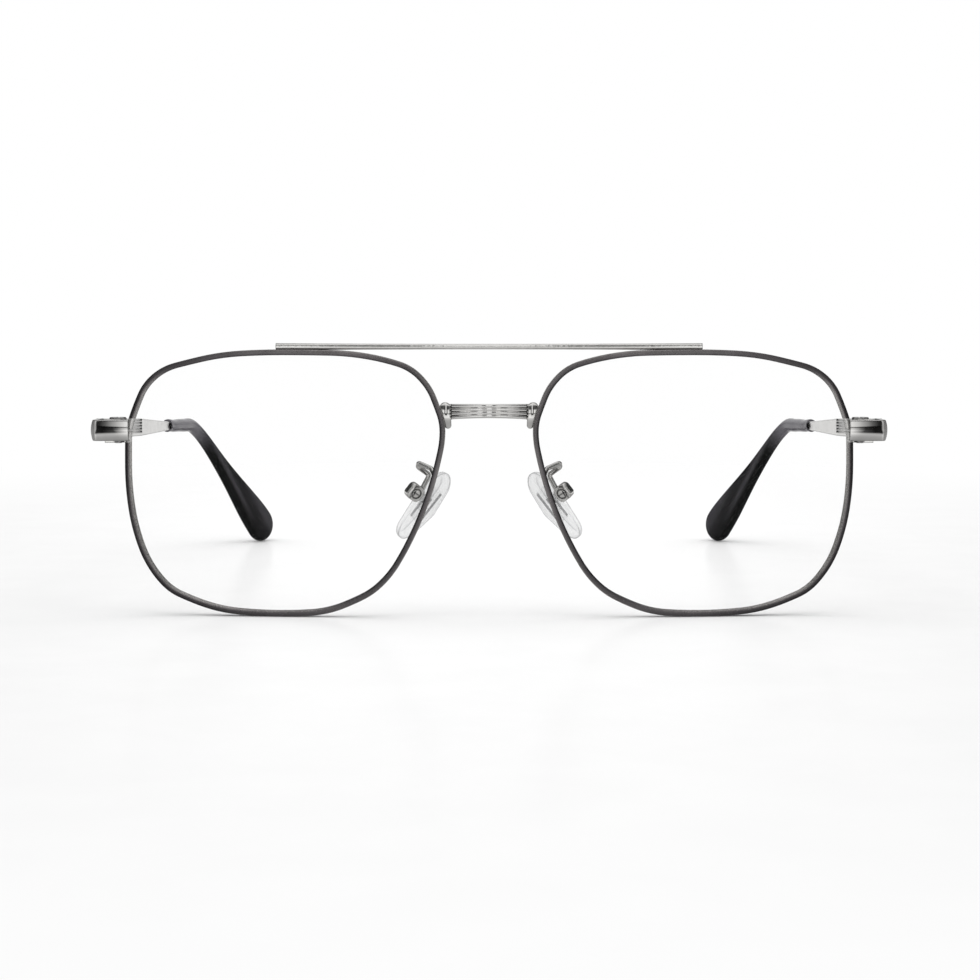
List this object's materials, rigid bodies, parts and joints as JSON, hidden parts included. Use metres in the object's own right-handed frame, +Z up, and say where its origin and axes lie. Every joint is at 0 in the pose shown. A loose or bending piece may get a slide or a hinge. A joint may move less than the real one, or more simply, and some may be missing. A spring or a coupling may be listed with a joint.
{
  "type": "double bridge glasses",
  "caption": "Metal spectacle frame with a straight brow bar over a ribbed lower bridge, squared pilot lenses, clear nose pads and folding temples.",
  "frame": {"origin": "on the ground, at the middle of the open frame's width and depth", "axes": "+X to the wearer's left, +Y back to the ears, +Z up"},
  "size_m": [0.1398, 0.1326, 0.0478],
  "materials": {
    "silver_plate": "bright silver plating",
    "gunmetal": "satin dark gunmetal lacquer",
    "clear_lens": "clear polished demo lens",
    "screw_steel": "fine turned steel",
    "dark_acetate": "glossy black moulded sleeve",
    "clear_silicone": "clear soft silicone"
  },
  "bodies": {
    "front": {"brow_bar": "silver_plate", "bridge_bar": "silver_plate", "bridge_lug_left": "silver_plate", "bridge_lug_right": "silver_plate", "rim_left": "gunmetal", "rim_right": "gunmetal", "lens_left": "clear_lens", "lens_right": "clear_lens", "endpiece_left": "silver_plate", "endpiece_right": "silver_plate", "closing_block_upper_left": "silver_plate", "closing_block_upper_right": "silver_plate", "closing_block_lower_left": "silver_plate", "closing_block_lower_right": "silver_plate", "rim_screw_left": "screw_steel", "rim_screw_right": "screw_steel", "hinge_front_leaf_left": "silver_plate", "hinge_front_leaf_right": "silver_plate", "hinge_screw_left": "screw_steel", "hinge_screw_right": "screw_steel", "pad_arm_left": "silver_plate", "pad_arm_right": "silver_plate", "pad_box_left": "silver_plate", "pad_box_right": "silver_plate", "pad_screw_left": "screw_steel", "pad_screw_right": "screw_steel"},
    "temple_left": {"hinge_temple_leaf_left": "silver_plate", "temple_bar_left": "silver_plate", "temple_tip_left": "dark_acetate"},
    "temple_right": {"hinge_temple_leaf_right": "silver_plate", "temple_bar_right": "silver_plate", "temple_tip_right": "dark_acetate"},
    "pad_left": {"pad_insert_left": "screw_steel", "nose_pad_left": "clear_silicone"},
    "pad_right": {"pad_insert_right": "screw_steel", "nose_pad_right": "clear_silicone"}
  },
  "joints": [
    {"name": "temple_left_fold", "type": "hinge", "parent": "front", "child": "temple_left", "pos_m": [0.06599, -0.05542, 0.0325], "axis": [0, 0, 1], "range_deg": [0, 84]},
    {"name": "temple_right_fold", "type": "hinge", "parent": "front", "child": "temple_right", "pos_m": [-0.06599, -0.05542, 0.0325], "axis": [0, 0, -1], "range_deg": [0, 74]},
    {"name": "pad_left_rock", "type": "hinge", "parent": "front", "child": "pad_left", "pos_m": [0.0131, -0.05963, 0.02154], "axis": [0.3956, 0.866, 0.3058], "range_deg": [-10, 10]},
    {"name": "pad_right_rock", "type": "hinge", "parent": "front", "child": "pad_right", "pos_m": [-0.0131, -0.05963, 0.02154], "axis": [-0.3956, 0.866, 0.3058], "range_deg": [-10, 10]}
  ]
}
